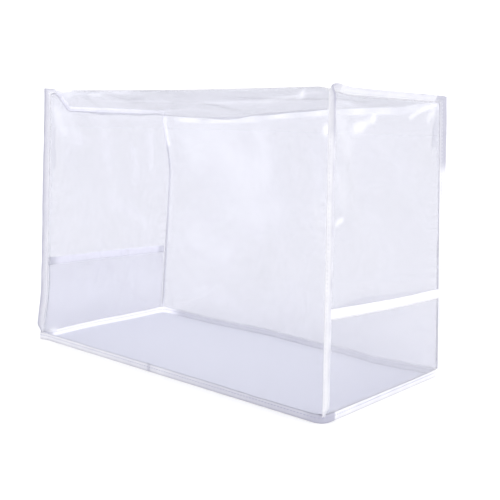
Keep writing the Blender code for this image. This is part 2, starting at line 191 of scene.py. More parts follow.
Crease = namedtuple("Crease", "start end height half_width")
CREASES = {
    "front": (
        Crease((-0.19, 0.25), (-0.12, 0.12), 0.003, 0.022),
        Crease((-0.06, 0.22), (0.06, 0.06), -0.0025, 0.03),
        Crease((0.15, 0.27), (0.185, 0.19), -0.0035, 0.02),
        Crease((0.09, 0.12), (0.17, 0.05), 0.0025, 0.026),
    ),
    "back": (
        Crease((-0.17, 0.23), (-0.06, 0.15), 0.005, 0.026),
        Crease((-0.13, 0.11), (-0.03, 0.21), -0.0045, 0.024),
        Crease((0.0, 0.255), (0.06, 0.15), 0.004, 0.026),
        Crease((0.1, 0.2), (0.15, 0.08), -0.004, 0.026),
        Crease((-0.15, 0.06), (0.02, 0.08), -0.0035, 0.026),
    ),
    "top": (
        Crease((-0.18, -0.04), (-0.09, -0.075), -0.0035, 0.016),
        Crease((-0.16, 0.03), (-0.04, 0.0), 0.0035, 0.018),
        Crease((-0.07, 0.06), (0.06, 0.045), -0.003, 0.018),
        Crease((0.02, -0.02), (0.15, 0.01), 0.0025, 0.02),
    ),
    "left": (
        Crease((-0.06, 0.25), (0.05, 0.235), -0.005, 0.022),
        Crease((0.06, 0.18), (0.02, 0.13), 0.003, 0.02),
    ),
    "right": (
        Crease((0.08, 0.285), (0.04, 0.24), 0.0035, 0.02),
        Crease((-0.07, 0.285), (-0.045, 0.225), -0.003, 0.02),
    ),
}

Bulge = namedtuple("Bulge", "wall share half_width outward")
HEM_BULGES = (
    Bulge("back", 0.44, 0.20, 0.0050),
    Bulge("back", 0.84, 0.14, -0.0060),
    Bulge("left", 0.36, 0.36, 0.0040),
)

# Fine ripples of each panel: height, how many waves a metre along and up, how sharp the crests are,
# and how strong the painted highlight on the crests is
Ripple = namedtuple("Ripple", "height along up sharp milk")
RIPPLES = {
    "front": Ripple(0.0004, 9.0, 7.0, 1.0, 0.00),
    "back": Ripple(0.0012, 7.0, 9.0, 1.6, 0.12),
    "top": Ripple(0.0004, 6.0, 15.0, 2.4, 0.10),
    "left": Ripple(0.0010, 20.0, 8.0, 1.6, 0.09),
    "right": Ripple(0.0005, 9.0, 7.0, 1.4, 0.01),
    "pocket": Ripple(0.0005, 14.0, 12.0, 1.6, 0.03),
}

# Painted highlights: white marks where the film was folded and where it catches the light, and a painted
# lightening of the left pocket: a line on a panel, half width and strength
Mark = namedtuple("Mark", "start end half_width milk")
MARKS = {
    "front": (
        Mark((0.202, 0.2725), (0.2022, 0.27), 0.0032, 0.8),
        Mark((0.174, 0.3048), (0.173, 0.302), 0.0024, 0.5),
        Mark((0.125, 0.296), (0.172, 0.3), 0.0022, 0.12),
        Mark((-0.205, 0.014), (-0.196, 0.017), 0.0024, 0.45),
        Mark((0.194, 0.2032), (0.2, 0.1716), 0.003, 0.08),
    ),
    "right": (
        Mark((-0.0285, 0.2836), (-0.0295, 0.2825), 0.0034, 0.6),
        Mark((-0.0285, 0.2836), (-0.0493, 0.2747), 0.003, 0.3),
        Mark((-0.048, 0.2752), (-0.056, 0.2735), 0.005, 0.45),
        Mark((0.0401, 0.2853), (0.0646, 0.2941), 0.0018, 0.4),
        Mark((0.0646, 0.2941), (0.0969, 0.3014), 0.0018, 0.5),
        Mark((0.078, 0.285), (0.09, 0.293), 0.0035, 0.25),
        Mark((-0.0791, 0.189), (-0.0888, 0.186), 0.0024, 0.45),
        Mark((-0.089, 0.29), (-0.07, 0.256), 0.009, 0.1),
        Mark((-0.088, 0.23), (-0.078, 0.205), 0.008, 0.07),
    ),
    "back": (
        Mark((-0.13, 0.255), (-0.065, 0.205), 0.04, 0.3),
        Mark((-0.17, 0.255), (-0.16, 0.21), 0.016, 0.14),
        Mark((-0.045, 0.265), (-0.035, 0.22), 0.015, 0.22),
        Mark((-0.09, 0.155), (-0.02, 0.16), 0.018, 0.16),
        Mark((-0.165, 0.12), (-0.105, 0.105), 0.026, 0.16),
        Mark((0.035, 0.255), (0.05, 0.19), 0.006, 0.1),
        Mark((-0.2, 0.05), (-0.1, 0.03), 0.025, 0.12),
        Mark((-0.2035, 0.285), (-0.2045, 0.246), 0.0045, 0.8),
        Mark((-0.2075, 0.23), (-0.212, 0.1), 0.004, 0.18),
    ),
    "left": (
        Mark((0.1015, 0.285), (0.1025, 0.246), 0.004, 0.7),
        Mark((0.1, 0.23), (0.106, 0.1), 0.004, 0.12),
        Mark((-0.093, 0.282), (0.095, 0.28), 0.003, 0.15),
        Mark((-0.0963, 0.288), (-0.0851, 0.26), 0.0065, 0.45),
        Mark((-0.0799, 0.2844), (-0.0655, 0.25), 0.008, 0.28),
        Mark((-0.0259, 0.275), (-0.0161, 0.225), 0.009, 0.16),
        Mark((0.0261, 0.2374), (0.0371, 0.1969), 0.007, 0.16),
        Mark((0.0615, 0.26), (0.065, 0.21), 0.005, 0.24),
        Mark((0.0, 0.172), (0.0683, 0.1329), 0.012, 0.1),
        Mark((-0.085, 0.19), (-0.07, 0.15), 0.01, 0.04),
    ),
    "top": (
        Mark((-0.1798, -0.0986), (-0.1526, -0.0928), 0.0048, 0.5),
        Mark((-0.1526, -0.0928), (-0.1461, -0.0605), 0.0048, 0.5),
        Mark((-0.1934, -0.0865), (-0.16, -0.076), 0.0048, 0.5),
        Mark((-0.16, -0.076), (-0.0966, -0.088), 0.0048, 0.5),
        Mark((-0.1391, -0.0824), (-0.0814, -0.0899), 0.0048, 0.5),
        Mark((-0.1359, -0.0536), (-0.0732, -0.0405), 0.0056, 0.5),
        Mark((-0.201, -0.095), (-0.1698, -0.1), 0.004, 0.5),
        Mark((-0.1231, 0.0094), (-0.0736, 0.0022), 0.0097, 0.5),
        Mark((-0.1492, 0.0701), (-0.0656, 0.085), 0.0081, 0.5),
        Mark((-0.0274, -0.0278), (0.0491, -0.0091), 0.0072, 0.5),
        Mark((0.0712, -0.0217), (0.1611, -0.0616), 0.0056, 0.5),
        Mark((0.1408, 0.015), (0.125, 0.06), 0.0081, 0.5),
    ),
    "pocket_left": (
        Mark((-0.085, 0.05), (0.085, 0.045), 0.045, 0.42),
    ),
}


def smooth(t):
    """Eases from 0 to 1 while t goes from 0 to 1."""
    t = min(max(t, 0.0), 1.0)
    return t * t * (3.0 - 2.0 * t)


def past(value, fade):
    """Eases from 0 at a fade's start to 1 after its reach, which is negative where it runs downwards."""
    return smooth((value - fade.start) / fade.reach)


def mix(a, b, t):
    return a + (b - a) * t


def eased(points, share):
    """Reads a table of (share, value) rows with a soft curve from each row to the next."""
    for low, high in zip(points, points[1:]):
        if share <= high[0]:
            return mix(low[1], high[1], smooth((share - low[0]) / (high[0] - low[0])))
    return points[-1][1]


def side_of(end):
    """The way along X that an end looks."""
    return 1.0 if end == "right" else -1.0


def hill(offset, half_width):
    """1 in the middle of a bump, and 0 from twice its half width outwards."""
    return smooth(1.0 - abs(offset) / (2.0 * half_width))


def hem_bulge(wall, share, z):
    reach = sum(b.outward * hill(share - b.share, b.half_width / 2) for b in HEM_BULGES if b.wall == wall)
    return reach * smooth(1.0 - z / BULGE_FADE)


def corner_at(end, wall, z):
    """The seam's own x and y at a height, before anything slumps."""
    corner = CORNERS[end, wall]
    t = z / HEIGHT
    x = mix(corner.x_hem, corner.x_top, t) + corner.flare * smooth(1.0 - z / FLARE_FADE)
    return x, mix(corner.y_hem, corner.y_top, t)


def wall_point(wall, u, z):
    """A point of the front or the back wall at the share u of the width."""
    x_left, y_left = corner_at("left", wall, z)
    x_right, y_right = corner_at("right", wall, z)
    away = 1.0 if wall == "back" else -1.0
    y = mix(y_left, y_right, u) + away * hem_bulge(wall, u, z)
    if wall == "back":
        climb = (z - SLUMP_FROM) / (SLUMP_TO - SLUMP_FROM)
        y -= SLUMP_REACH * smooth(1.0 - u / SLUMP_SPREAD) * smooth(climb)
    return Vector((mix(x_left, x_right, u), y, z))


def front_fold(u):
    """Height of the front fold: it dips a little in the middle and is drawn down at both seams."""
    near_seam = min(u, 1.0 - u)
    return HEIGHT - FOLD_SAG * math.sin(math.pi * u) - CORNER_DIP * smooth(1.0 - near_seam / DIP_SPREAD)


def distance_to(line, a, b):
    """How far a place on a panel is from a crease's or a mark's line."""
    place, start, end = Vector((a, b)), Vector(line.start), Vector(line.end)
    run = end - start
    t = min(max((place - start).dot(run) / run.length_squared, 0.0), 1.0)
    return (place - start - run * t).length


def crease_height(panel, a, b):
    """Sum of the ridges and troughs at one place of a panel."""
    return sum(c.height * hill(distance_to(c, a, b), c.half_width) for c in CREASES.get(panel, ()))


def arc(centre_y, centre_z, start, stop):
    angles = [mix(start, stop, k / ARC_ROWS) for k in range(1, ARC_ROWS)]
    return [(centre_y + FOLD_RADIUS * math.cos(a), centre_z + FOLD_RADIUS * math.sin(a)) for a in angles]


def section(u, rows, foot=CORNER_RISE):
    """The strip's path at the share u of the width: up the front, over the top, down the back."""
    front_top = front_fold(u) - FOLD_RADIUS
    back_top = eased(BACK_FOLD, u) - FOLD_RADIUS
    path = [wall_point("front", u, mix(foot, front_top, k / rows.wall)) for k in range(rows.wall + 1)]
    down = [wall_point("back", u, mix(back_top, foot, k / rows.wall)) for k in range(rows.wall + 1)]
    y_front = path[-1].y + FOLD_RADIUS
    y_back = down[0].y - FOLD_RADIUS
    reach = eased(TOP_DROP, u)
    over = arc(y_front, front_top, math.pi, math.pi / 2)
    for k in range(rows.top + 1):
        t = (k / rows.top) ** TOP_CROWDING
        z = mix(front_top, back_top, smooth(t / reach)) + FOLD_RADIUS
        z -= SAG * math.sin(math.pi * t) * math.sin(math.pi * u)
        over.append((mix(y_front, y_back, t), z))
    over += arc(y_back, back_top, math.pi / 2, 0.0)
    for y, z in over:
        share = min(max((y - y_front) / (y_back - y_front), 0.0), 1.0)
        x_front = mix(corner_at("left", "front", z)[0], corner_at("right", "front", z)[0], u)
        x_back = mix(corner_at("left", "back", z)[0], corner_at("right", "back", z)[0], u)
        path.append(Vector((mix(x_front, x_back, share), y, z)))
    return path + down


def turns(rows):
    """The rows at which a path starts, meets and leaves both folds, and ends."""
    over = rows.wall + ARC_ROWS + rows.top
    return 0, rows.wall, rows.wall + ARC_ROWS, over, over + ARC_ROWS, over + ARC_ROWS + rows.wall


def outward_normals(path):
    """Unit normals of a path in the end panel's plane, pointing out of the cover."""
    normals = []
    for i in range(len(path)):
        run = path[min(i + 1, len(path) - 1)] - path[max(i - 1, 0)]
        normals.append(Vector((0.0, -run.z, run.y)).normalized())
    return normals


def panel_of_row(i, rows):
    if i <= rows.wall:
        return "front"
    return "back" if i >= turns(rows)[4] else "top"


def coarse_row(i, rows):
    """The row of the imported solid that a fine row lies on, with its fraction."""
    fine = turns(rows)
    for k in range(len(fine) - 1):
        if i <= fine[k + 1]:
            return mix(COARSE[k], COARSE[k + 1], (i - fine[k]) / (fine[k + 1] - fine[k]))
    return COARSE[-1]


def fin_share(z):
    """Width of a fin as a share of its full width: it is trimmed where it meets the hem."""
    return mix(FIN_FOOT, 1.0, smooth((z - CORNER_RISE) / FIN_TRIM))


def fin_frames(end, rows):
    """For each point of an end's seam: the point, the fin's direction and the side that the end is on.

    The direction is longer round a fold, where the tape is folded over to a pointed corner.
    """
    out = Vector((side_of(end), 0.0, 0.0))
    path = section(1.0 if end == "right" else 0.0, rows)
    lean = FIN_LEAN[end]
    frames = []
    for i, (point, normal) in enumerate(zip(path, outward_normals(path))):
        row = coarse_row(i, rows)
        angle = mix(lean.front, lean.top, smooth((row - COARSE[1] + 1) / COARSE_TURN))
        back = mix(lean.back_foot, lean.back, smooth(point.z / HEIGHT))
        angle = mix(angle, back, smooth((row - COARSE[4] + COARSE_TURN - 1) / COARSE_TURN))
        angle = math.radians(angle)
        fin = normal * math.cos(angle) + out * math.sin(angle)
        side = out * math.cos(angle) - normal * math.sin(angle)
        point_out = 1.0 / max(abs(normal.y), abs(normal.z)) - 1.0
        fin += normal * point_out * (math.cos(angle) + FOLD_RADIUS / FIN)
        frames.append((point, fin, side))
    return frames


def end_chord(end, share, z):
    x_front, y_front = corner_at(end, "front", z)
    x_back, y_back = corner_at(end, "back", z)
    return Vector((mix(x_front, x_back, share), mix(y_front, y_back, share), z))


def end_point(end, share, z):
    point = end_chord(end, share, z)
    point.x += hem_bulge(end, share, z) * side_of(end)
    return point


def pocket_point(end, share, climb):
    """A point of a pocket: share runs from its front edge to its back edge, climb from foot to mouth."""
    out = side_of(end)
    mouth = mix(POCKET_MOUTH[end].front, POCKET_MOUTH[end].back, share)
    z = mix(CORNER_RISE, mouth, climb)
    y_front = corner_at(end, "front", z)[1] + POCKET_INSET
    y_back = corner_at(end, "back", z)[1] - POCKET_INSET
    y = mix(y_front, y_back, share)
    x_front, x_back = corner_at(end, "front", z)[0], corner_at(end, "back", z)[0]
    across = (y - y_front + POCKET_INSET) / (y_back - y_front + 2 * POCKET_INSET)
    x = mix(x_front, x_back, across)
    under_tape = (mouth - z) / POCKET_TAPE
    clear = POCKET_OFF * (1.0 + smooth(POCKET_STEP - under_tape))
    bow = POCKET_BOW * math.sin(math.pi * share) * smooth(climb)
    return Vector((x + out * (clear + bow + hem_bulge(end, across, z)), y, z))


# Ripples: how a slow noise bends them, and the smaller ones among them
BEND = 1.6
BEND_SCALE = 6.0
SMALL_ALONG = 2.3
SMALL_UP = 2.1
SMALL_SHARE = 0.35
RIPPLE_LEVEL = 0.4


def crumple(panel, a, b):
    """Height of a panel's fine ripples, and the painted highlight on their crests: soft noise, bent by a
    slower one, with sharp crests.
    """
    ripple = RIPPLES[panel]
    seed = 7.3 * list(RIPPLES).index(panel)
    bend = noise.noise(Vector((a * BEND_SCALE, b * BEND_SCALE, seed))) * BEND
    first = noise.noise(Vector((a * ripple.along + bend, b * ripple.up + bend, seed + 3.1)))
    small_place = (a * ripple.along * SMALL_ALONG - bend, b * ripple.up * SMALL_UP, seed + 9.7)
    second = noise.noise(Vector(small_place))
    crest = (1.0 - min(abs(first) * 2.0, 1.0)) ** (2.0 * ripple.sharp)
    small = (1.0 - min(abs(second) * 2.2, 1.0)) ** (3.0 * ripple.sharp)
    height = ripple.height * (crest + SMALL_SHARE * small - RIPPLE_LEVEL)
    return height, ripple.milk * min(crest * 0.8 + small * 0.7, 1.0)


PUCKER = 0.0009
PUCKER_REACH = 0.009
PUCKER_PITCH = 0.011
PUCKER_RISE = 0.003
PUCKER_HIGHLIGHT = 0.16


def pucker(distance, along, seed):
    """The small gathers that stitching pulls into the film beside a seam, and the painted highlight on their
    crests.
    """
    slow = noise.noise(Vector((along * 14.0, seed, 2.0)))
    fast = noise.noise(Vector((along * 70.0, seed, 5.0)))
    wave = math.sin(2.0 * math.pi * along / PUCKER_PITCH + 5.0 * slow + 2.0 * fast)
    size = math.exp(-distance / (PUCKER_REACH * (1.0 + 0.8 * slow))) * smooth(0.55 + 1.2 * slow)
    return PUCKER * wave * size, PUCKER_HIGHLIGHT * size * smooth(wave)


def painted_light_of_marks(panel, a, b):
    """How much painted highlight the white marks put on one place of a panel."""
    marks = MARKS.get(panel, ())
    return sum(m.milk * math.exp(-(distance_to(m, a, b) / m.half_width) ** 2) for m in marks)


def relief(panel, a, b, from_seam, along):
    """Height of a film panel at one of its places, and the painted highlight there."""
    height, milk = crumple(panel, a, b)
    lift, white = pucker(from_seam, along, 1.0 + list(RIPPLES).index(panel))
    fade = smooth(from_seam / EDGE_FADE)
    height = height * fade + lift * smooth(from_seam / PUCKER_RISE)
    return height, milk * mix(0.4, 1.0, fade) + white + painted_light_of_marks(panel, a, b)


def lit_through(point):
    """How strong the tape's painted glow is at a place, standing for light from behind: most on the left
    end's top and band.
    """
    strength = mix(GLOW, GLOW_TOP, past(point.z, LIT_TOP))
    if point.y > GLOW_BACK_FROM:
        strength *= 1.0 - GLOW_BACK_LOSS * past(point.z, DIM_BACK_FOOT) * past(point.z, DIM_BACK_TOP)
    return strength * past(point.x, LIT_LEFT) * past(point.y, LIT_BEHIND_FRONT)


def grid_mesh(name, rows, milk, wrap=False):
    """A mesh over rows of points in metres, with a map in real lengths, its haze and painted light, and its
    painted glow on each point.
    """
    across, along = len(rows[0]), len(rows)
    points = [point - MIDDLE for row in rows for point in row]
    faces = []
    for j in range(along - 1):
        for i in range(across - (0 if wrap else 1)):
            k = (i + 1) % across
            faces.append((j * across + i, j * across + k, (j + 1) * across + k, (j + 1) * across + i))
    mesh = bpy.data.meshes.new(name)
    mesh.from_pydata(points, [], faces)
    mesh.update()
    mesh.shade_smooth()
    # Haze and painted light of each point: painted highlights on film, painted shade on tape
    white = mesh.attributes.new("milk", "FLOAT", "POINT")
    white.data.foreach_set("value", [value for row in milk for value in row])
    # Painted glow of the tape, standing for light through it from behind
    lit = mesh.attributes.new("glow", "FLOAT", "POINT")
    lit.data.foreach_set("value", [lit_through(point) for point in points])
    down = [0.0]
    for j in range(1, along):
        down.append(down[-1] + (rows[j][across // 2] - rows[j - 1][across // 2]).length)
    side = [0.0]
    for i in range(1, across + 1):
        side.append(side[-1] + (rows[along // 2][i % across] - rows[along // 2][i - 1]).length)
    uv = mesh.uv_layers.new(name="Cut")
    for polygon in mesh.polygons:
        j, i = divmod(polygon.index, across - (0 if wrap else 1))
        for loop, (di, dj) in zip(polygon.loop_indices, ((0, 0), (1, 0), (1, 1), (0, 1))):
            uv.data[loop].uv = (side[i + di], down[j + dj])
    return mesh


def add_sheet(name, rows, milk, solid, slot, wrap=False, **sheet):
    """A sheet of film or tape over rows of points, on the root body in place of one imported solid."""
    mesh = grid_mesh(name, rows, milk, wrap)
    mesh.materials.append(material_for(SLOT_MATERIALS[slot]))
    piece = bpy.data.objects.new(name, mesh)
    bpy.context.scene.collection.objects.link(piece)
    wall = piece.modifiers.new("Thickness", "SOLIDIFY")
    wall.thickness = settings().tape_thickness if slot == "white_tape" else settings().film_thickness
    wall.offset = 0.0
    wall.use_even_offset = False
    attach(piece, "root")
    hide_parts(solid)


def settings():
    return bpy.context.scene.film_cover


# Materials

SLOT_MATERIALS = {"clear_film": "Clear film", "pocket_film": "Pocket film", "white_tape": "White tape"}


def node(tree, kind, place, inputs=(), **values):
    """A node with its inputs filled in: by a value, by a socket, or by the first output of another node."""
    made = tree.nodes.new(kind)
    made.location = place
    for key, value in values.items():
        setattr(made, key, value)
    for key, value in dict(inputs).items():
        if isinstance(value, bpy.types.Node):
            value = value.outputs[0]
        if isinstance(value, bpy.types.NodeSocket):
            tree.links.new(value, made.inputs[key])
        else:
            made.inputs[key].default_value = value
    return made


def new_material(name):
    material = bpy.data.materials.new(name)
    material.use_nodes = True
    tree = material.node_tree
    tree.nodes.clear()
    return material, tree, node(tree, "ShaderNodeOutputMaterial", (900, 0))


def film_material(name, tint, gloss):
    """Clear film: it tints what is behind it, shines at a slant, and is white where it was creased and at its
    marks: haze with painted highlights and a painted glow.
    """
    material, tree, output = new_material(name)
    place = node(tree, "ShaderNodeTexCoord", (-900, -300)).outputs["Object"]
    milk = node(tree, "ShaderNodeAttribute", (-300, 300), attribute_name="milk").outputs["Fac"]
    clear = node(tree, "ShaderNodeBsdfTransparent", (-100, 150), {"Color": (*tint, 1.0)})
    white = node(tree, "ShaderNodeBsdfDiffuse", (-300, 50), {"Color": MILK_COLOUR})
    through = node(tree, "ShaderNodeBsdfTranslucent", (-300, -80), {"Color": MILK_COLOUR})
    milky = node(tree, "ShaderNodeMixShader", (-100, 0), {0: 0.5, 1: white, 2: through})
    cover = node(tree, "ShaderNodeMath", (-100, 320), {0: milk, 1: MILK_COVER}, operation="MINIMUM")
    hazy = node(tree, "ShaderNodeMixShader", (150, 100), {0: cover, 1: clear, 2: milky})
    # Painted glow: the film glows as much as its white layer, standing for highlights
    glow = node(tree, "ShaderNodeMath", (-300, 620), {0: milk, 1: MILK_GLOW}, operation="MULTIPLY")
    glint = node(tree, "ShaderNodeEmission", (-100, 620), {"Strength": glow})
    body = node(tree, "ShaderNodeAddShader", (330, 200), {0: hazy, 1: glint})
    waves = node(tree, "ShaderNodeTexNoise", (-650, -300),
                 {"Vector": place, "Scale": 38.0, "Detail": 2.0, "Distortion": 0.6})
    bump = node(tree, "ShaderNodeBump", (-400, -300),
                {"Strength": 0.35, "Distance": 0.002, "Height": waves.outputs["Fac"]})
    shine = node(tree, "ShaderNodeBsdfGlossy", (-100, -250), {"Roughness": 0.09, "Normal": bump})
    facing = node(tree, "ShaderNodeLayerWeight", (-500, 250), {"Blend": 0.5}).outputs["Facing"]
    slant = node(tree, "ShaderNodeMath", (-300, 450), {0: facing, 1: SLANT_POWER}, operation="POWER")
    strength = node(tree, "ShaderNodeMath", (-100, 450),
                    {0: slant, 1: gloss * SLANT_SHINE, 2: gloss * FACING_SHINE}, operation="MULTIPLY_ADD")
    whole = node(tree, "ShaderNodeMixShader", (500, 0), {0: strength, 1: body, 2: shine})
    tree.links.new(whole.outputs[0], output.inputs["Surface"])
    return material


def tape_material(name, colour, cover):
    """White binding tape: a soft fine weave, darker where its attribute paints shade and at a joint, with a
    painted glow, and a little see-through.
    """
    material, tree, output = new_material(name)
    place = node(tree, "ShaderNodeTexCoord", (-1100, 0)).outputs["Object"]
    weave = node(tree, "ShaderNodeTexWave", (-850, -250),
                 {"Vector": place, "Scale": 420.0, "Distortion": 2.0, "Detail": 1.0},
                 wave_type="BANDS", bands_direction="DIAGONAL")
    patches = node(tree, "ShaderNodeTexNoise", (-850, 50), {"Vector": place, "Scale": 60.0, "Detail": 3.0})
    light = node(tree, "ShaderNodeValToRGB", (-620, 50), {"Fac": patches.outputs["Fac"]})
    light.color_ramp.elements[0].position = 0.30
    light.color_ramp.elements[0].color = (colour[0] * 0.92, colour[1] * 0.92, colour[2] * 0.95, 1.0)
    light.color_ramp.elements[1].position = 0.62
    light.color_ramp.elements[1].color = (*colour, 1.0)
    shade = node(tree, "ShaderNodeAttribute", (-620, 350), attribute_name="milk").outputs["Fac"]
    # Painted shade, and the dark joint of the hem, turn the tape's colour towards a grey
    painted_shade_and_joint_mix = node(tree, "ShaderNodeMix", (-300, 150),
                {"Factor": shade, "A": light.outputs["Color"], "B": PAINTED_SHADE_AND_JOINT_COLOUR}, data_type="RGBA")
    bump = node(tree, "ShaderNodeBump", (-420, -250),
                {"Strength": 0.2, "Distance": 0.0003, "Height": weave.outputs["Fac"]})
    # Painted glow: a little on all tape, more where light from behind is painted in
    lit = node(tree, "ShaderNodeAttribute", (-620, 600), attribute_name="glow").outputs["Fac"]
    glow = node(tree, "ShaderNodeMath", (-300, 500), {0: lit, 1: TAPE_GLOW}, operation="ADD")
    cloth = node(tree, "ShaderNodeBsdfPrincipled", (-50, 50), {
        "Base Color": painted_shade_and_joint_mix.outputs["Result"],
        "Roughness": 0.45,
        "Normal": bump,
        "Emission Color": (0.82, 0.80, 0.78, 1.0),
        "Emission Strength": glow,
    })
    clear = node(tree, "ShaderNodeBsdfTransparent", (250, -200), {"Color": (0.94, 0.94, 0.97, 1.0)})
    whole = node(tree, "ShaderNodeMixShader", (500, 0), {0: cover, 1: clear, 2: cloth})
    tree.links.new(whole.outputs[0], output.inputs["Surface"])
    return material


def thread_material(name, colour):
    material, tree, output = new_material(name)
    place = node(tree, "ShaderNodeTexCoord", (-700, 0)).outputs["Object"]
    twist = node(tree, "ShaderNodeTexNoise", (-500, 0), {"Vector": place, "Scale": 900.0})
    bump = node(tree, "ShaderNodeBump", (-250, -200),
                {"Strength": 0.4, "Distance": 0.0002, "Height": twist.outputs["Fac"]})
    cotton = node(tree, "ShaderNodeBsdfPrincipled", (0, 0),
                  {"Base Color": (*colour, 1.0), "Roughness": 0.7, "Normal": bump})
    tree.links.new(cotton.outputs[0], output.inputs["Surface"])
    return material


def plain_material(name, colour, roughness):
    material, tree, output = new_material(name)
    paint = node(tree, "ShaderNodeBsdfPrincipled", (0, 0),
                 {"Base Color": (*colour, 1.0), "Roughness": roughness, "Specular IOR Level": 0.0})
    tree.links.new(paint.outputs[0], output.inputs["Surface"])
    return material


def material_for(kind):
    """The material of a kind of piece, made once."""
    if kind in bpy.data.materials:
        return bpy.data.materials[kind]
    look = settings()
    if kind == "Clear film":
        return film_material(kind, look.film_tint, look.gloss)
    if kind == "Pocket film":
        return film_material(kind, look.pocket_tint, look.gloss)
    if kind == "White tape":
        return tape_material(kind, look.tape_colour, look.tape_cover)
    if kind == "Hem thread":
        return thread_material(kind, look.hem_thread_colour)
    return thread_material(kind, look.thread_colour)


# Pieces

def film_foot(distance):
    return CORNER_RISE if distance < HEM_BAY else FILM_FOOT


def strip_shares():
    """Shares of the width at the strip's columns, closer together beside the seams."""
    return [mix(k / COLUMNS, smooth(k / COLUMNS), 0.25) for k in range(COLUMNS + 1)]


def strip_column(u, milk_base):
    """One column of the strip with its folds and wrinkles, its haze and its painted highlights."""
    from_seam = min(u, 1.0 - u) * WIDTH
    column = section(u, STRIP_ROWS, film_foot(from_seam))
    meets = turns(STRIP_ROWS)
    points, milk = [], []
    for i, (point, normal) in enumerate(zip(column, outward_normals(column))):
        panel = panel_of_row(i, STRIP_ROWS)
        upright = point.y if panel == "top" else point.z
        fade = smooth(from_seam / EDGE_FADE)
        rows_off = min(abs(i - meet) for meet in meets[1:5])
        in_back_fold = meets[3] - 1 <= i <= meets[4] + 1
        if meets[1] <= i <= meets[2] or in_back_fold:
            rows_off = 0
        flat = smooth(rows_off / FOLD_FADE_ROWS)
        if panel != "top":
            flat *= smooth((point.z - CORNER_RISE) / EDGE_FADE)
        height, white = relief(panel, point.x, upright, from_seam, upright)
        height = (height + crease_height(panel, point.x, upright) * fade) * flat
        points.append(point + normal * height)
        # Painted highlight along the back fold, in soft clouds
        if in_back_fold:
            white += BACK_FOLD_HIGHLIGHT * (0.7 + noise.noise(Vector((u * FOLD_CLOUDS, 4.0, 1.0))))
        milk.append(min(milk_base + white, MOST_MILK))
    return points, milk


def build_strip():
    """The strip that makes the front, the top and the back."""
    look = settings()
    half_seam = look.film_thickness * SEAM_GAP
    columns, milk = [], []
    for u in strip_shares():
        points, white = strip_column(u, look.milk)
        columns.append(points)
        milk.append(white)
    for end in ("left", "right"):
        frames = fin_frames(end, STRIP_ROWS)
        corner = [p - s * half_seam for p, f, s in frames]
        edge = [p - s * half_seam + f * FIN * fin_share(p.z) for p, f, s in frames]
        seam_milk, fin_milk = [SEAM_MILK] * len(frames), [FIN_MILK] * len(frames)
        if end == "left":
            columns[0], milk[0] = corner, seam_milk
            columns.insert(0, edge)
            milk.insert(0, fin_milk)
        else:
            columns[-1], milk[-1] = corner, seam_milk
            columns.append(edge)
            milk.append(fin_milk)
    rows = [list(row) for row in zip(*columns)]
    shades = [list(row) for row in zip(*milk)]
    add_sheet("film_strip", rows, shades, "body_strip", "clear_film",
              flat=(0.442, 0.800), held="stretched", rests_on=["hem_binding"])


def end_relief(end, point, share):
    """How far along X an end panel leaves its flat surface, and its painted highlights."""
    y_front, y_back = corner_at(end, "front", point.z)[1], corner_at(end, "back", point.z)[1]
    bulge = hem_bulge(end, (point.y - y_front) / (y_back - y_front), point.z)
    out = side_of(end)
    bow = END_BOW * math.sin(math.pi * share) ** 2 * smooth(point.z / END_BOW_FROM)
    bow *= smooth((END_TOP - point.z) / END_BOW_FADE)
    top_fade = smooth((END_TOP - point.z) / EDGE_FADE)
    from_seam = min(share, 1.0 - share) * DEPTH
    fade = smooth(from_seam / EDGE_FADE) * top_fade * smooth((point.z - END_CREASES_FROM) / EDGE_FADE)
    height, white = relief(end, point.y, point.z, from_seam, point.z)
    height *= top_fade * smooth((point.z - CORNER_RISE) / EDGE_FADE)
    return out * (bulge + crease_height(end, point.y, point.z) * fade - bow + height), white


def coons(left, right, bottom, top):
    """Fills the patch between four edges; left and right run upwards, bottom and top to the back."""
    columns, rows = len(bottom) - 1, len(left) - 1
    grid = []
    for j in range(rows + 1):
        w = j / rows
        line = []
        for i in range(columns + 1):
            v = i / columns
            ruled = mix(left[j], right[j], v) + mix(bottom[i], top[i], w)
            corners = mix(mix(bottom[0], bottom[-1], v), mix(top[0], top[-1], v), w)
            line.append(ruled - corners)
        grid.append(line)
    return grid


